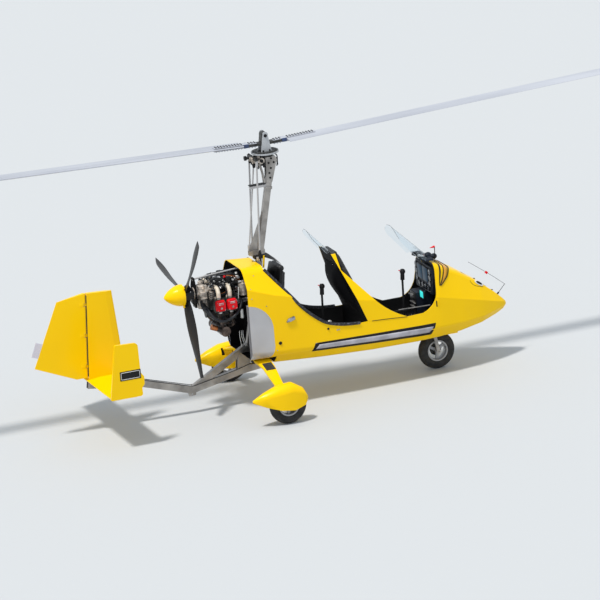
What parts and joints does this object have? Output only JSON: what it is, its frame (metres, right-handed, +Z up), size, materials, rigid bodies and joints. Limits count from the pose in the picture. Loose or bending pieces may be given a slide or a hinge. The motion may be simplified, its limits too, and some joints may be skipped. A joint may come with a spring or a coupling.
{
  "type": "autogyro",
  "caption": "Tandem open-cockpit autogyro: moulded hull with wheel spats, mast with a teetering two-blade rotor, pusher engine and propeller, fin and rudder on a low boom.",
  "frame": {"origin": "on the ground under the rotor's axis", "axes": "+X towards the nose, +Y to the machine's left, +Z up"},
  "size_m": [8.395, 1.902, 2.8549],
  "materials": {
    "yellow_gloss": "glossy paint over moulded composite",
    "silver_paint": "satin metallic",
    "black_gloss": "glossy moulded composite",
    "black_plastic": "matte moulded plastic",
    "frame_steel": "brushed stainless steel",
    "aluminium": "machined or cast",
    "rotor_skin": "satin extrusion",
    "tyre": "moulded rubber",
    "clear_screen": "clear moulded sheet",
    "seat_cover": "stitched cover",
    "red_paint": "gloss enamel over a cast cover",
    "engine_cast": "cast light alloy, dull",
    "carbon": "carbon composite",
    "exhaust_steel": "heat-coloured steel",
    "lamp_chrome": "polished lamp body",
    "panel_black": "matte textured panel"
  },
  "bodies": {
    "airframe": {"fuselage_tub": "yellow_gloss", "fuel_tanks": "silver_paint", "seat_fairing": "yellow_gloss", "cockpit_floor": "aluminium", "rear_bulkhead": "black_plastic", "gear_bay_floor": "black_plastic", "seats": "black_gloss", "seat_pads": "seat_cover", "seat_back_panel": "panel_black", "instrument_panel": "panel_black", "glare_shield": "panel_black", "cockpit_controls": "black_plastic", "windscreens": "clear_screen", "keel_frame": "frame_steel", "mast": "frame_steel", "rotor_head": "aluminium", "control_rods": "aluminium", "gear_bow": "yellow_gloss", "bow_clamps": "black_plastic", "wheel_spats": "yellow_gloss", "nose_bush": "aluminium", "stabiliser": "yellow_gloss", "fin": "yellow_gloss", "rudder_hinges": "aluminium", "end_plates": "yellow_gloss", "crankcase": "engine_cast", "rocker_covers": "red_paint", "gearbox": "engine_cast", "intake": "aluminium", "exhaust": "exhaust_steel", "engine_mount": "frame_steel", "carburettors": "engine_cast", "airbox": "black_plastic", "ignition_boxes": "black_plastic", "starter": "engine_cast", "oil_tank": "aluminium", "coolant_hoses": "black_plastic", "brace_plate": "black_plastic", "prerotator": "aluminium", "side_lamps": "lamp_chrome", "nose_rods": "black_plastic"},
    "rotor_tower": {"rotor_tower": "frame_steel"},
    "rotor": {"rotor_hub_bar": "aluminium", "rotor_blades": "rotor_skin", "blade_clamps": "aluminium"},
    "propeller": {"propeller": "carbon", "spinner": "yellow_gloss"},
    "nose_leg": {"nose_fork": "frame_steel"},
    "nose_wheel": {"tyre_nose": "tyre", "rim_nose": "aluminium"},
    "wheel_left": {"tyre_left": "tyre", "rim_left": "aluminium"},
    "wheel_right": {"tyre_right": "tyre", "rim_right": "aluminium"},
    "rudder": {"rudder": "yellow_gloss", "trim_tab": "aluminium"}
  },
  "joints": [
    {"name": "rotor_spin", "type": "hinge", "parent": "airframe", "child": "rotor_tower", "pos_m": [0, 0, 2.6], "axis": [0, 0, 1], "continuous": true},
    {"name": "rotor_teeter", "type": "hinge", "parent": "rotor_tower", "child": "rotor", "pos_m": [0, 0, 2.77], "axis": [0, 1, 0], "range_deg": [-8, 8]},
    {"name": "prop_spin", "type": "hinge", "parent": "airframe", "child": "propeller", "pos_m": [-0.974, 0, 1.262], "axis": [1, 0, 0], "continuous": true},
    {"name": "nose_steer", "type": "hinge", "parent": "airframe", "child": "nose_leg", "pos_m": [1.64, 0, 0.4], "axis": [0, 0, 1], "range_deg": [-25, 25]},
    {"name": "nose_wheel_spin", "type": "hinge", "parent": "nose_leg", "child": "nose_wheel", "pos_m": [1.673, 0, 0.195], "axis": [0, 1, 0], "continuous": true},
    {"name": "wheel_left_spin", "type": "hinge", "parent": "airframe", "child": "wheel_left", "pos_m": [-0.281, 0.856, 0.195], "axis": [0, 1, 0], "continuous": true},
    {"name": "wheel_right_spin", "type": "hinge", "parent": "airframe", "child": "wheel_right", "pos_m": [-0.281, -0.856, 0.195], "axis": [0, 1, 0], "continuous": true},
    {"name": "rudder_swing", "type": "hinge", "parent": "airframe", "child": "rudder", "pos_m": [-2.104, 0, 0.56], "axis": [0.0607, 0, 0.9982], "range_deg": [-28, 28]}
  ]
}
